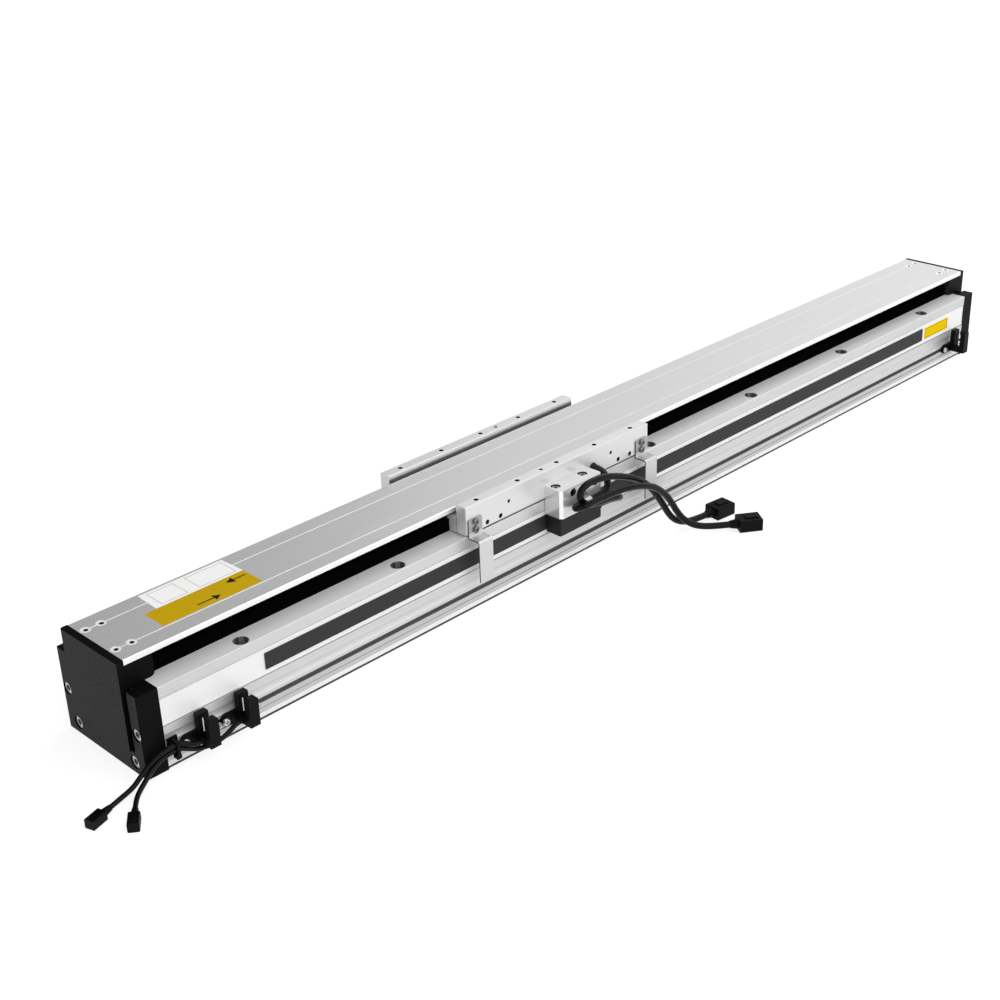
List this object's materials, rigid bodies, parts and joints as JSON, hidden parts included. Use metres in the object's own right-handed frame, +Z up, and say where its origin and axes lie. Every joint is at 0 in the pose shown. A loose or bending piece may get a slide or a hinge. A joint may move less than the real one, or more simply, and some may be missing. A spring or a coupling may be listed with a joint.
{
  "type": "linear motor module",
  "caption": "Long covered linear motor axis: an extruded base, a carriage that slides on it over the cover, slot sensors, a read head on a scale, and short leads.",
  "frame": {"origin": "middle of the base's flat underside, halfway between the ends", "axes": "+X along the base from the end with two sensors to the other end, +Z up out of the cover, -Y is the side with the scale and sensors"},
  "size_m": [1.2243, 0.2068, 0.1],
  "materials": {
    "anodised_profile": "satin, clear anodised",
    "anodised_machined": "satin, milled and clear anodised",
    "black_anodised": "matt, blasted and black anodised",
    "stainless_screw": "satin",
    "rail_steel": "ground",
    "sheet_steel": "satin",
    "nickel_magnet": "nickel plated",
    "black_plastic": "fine moulded grain",
    "black_rubber": "matt",
    "cast_resin": "cast, satin",
    "magnetic_tape": "flat, matt",
    "read_head_housing": "fine matt",
    "lead_sheath": "satin sheath"
  },
  "bodies": {
    "module_base": {"base_extrusion": "anodised_profile", "end_block_left": "black_anodised", "end_block_right": "black_anodised", "end_block_screws": "stainless_screw", "top_cover": "anodised_profile", "cover_screws": "stainless_screw", "dust_lip_near": "black_rubber", "dust_lip_far": "black_rubber", "cover_skirt_near": "black_rubber", "cover_skirt_far": "black_rubber", "guide_rail_near": "rail_steel", "guide_rail_far": "rail_steel", "rail_screws": "stainless_screw", "magnet_yoke": "sheet_steel", "magnets_near": "nickel_magnet", "magnets_far": "nickel_magnet", "bumpers_left": "black_rubber", "bumpers_right": "black_rubber", "scale_tape": "magnetic_tape", "limit_sensor_left": "black_plastic", "home_sensor": "black_plastic", "limit_sensor_right": "black_plastic", "sensor_screws": "stainless_screw", "slot_nuts": "stainless_screw", "cable_saddle": "black_plastic", "cable_tie": "black_plastic", "left_sensor_lead": "lead_sheath", "home_sensor_lead": "lead_sheath", "left_sensor_connector": "black_plastic", "home_sensor_connector": "black_plastic"},
    "carriage": {"carriage_table": "anodised_machined", "table_screws": "stainless_screw", "guide_block_near_left": "rail_steel", "guide_block_near_right": "rail_steel", "guide_block_far_left": "rail_steel", "guide_block_far_right": "rail_steel", "coil_unit": "cast_resin", "end_plate_left": "black_plastic", "end_plate_right": "black_plastic", "end_plate_screws": "stainless_screw", "sensor_flag_left": "sheet_steel", "sensor_flag_right": "sheet_steel", "flag_screws": "stainless_screw", "read_head": "read_head_housing", "encoder_bracket": "anodised_machined", "bracket_screws": "stainless_screw", "lead_grommet": "black_rubber", "lead_clip": "sheet_steel", "lead_clip_screw": "stainless_screw", "motor_lead": "lead_sheath", "encoder_lead": "lead_sheath", "motor_connector": "black_plastic", "encoder_connector": "black_plastic"}
  },
  "joints": [
    {"name": "carriage_slide", "type": "slide", "parent": "module_base", "child": "carriage", "axis": [1, 0, 0], "range_m": [-0.29, 0.552]}
  ]
}
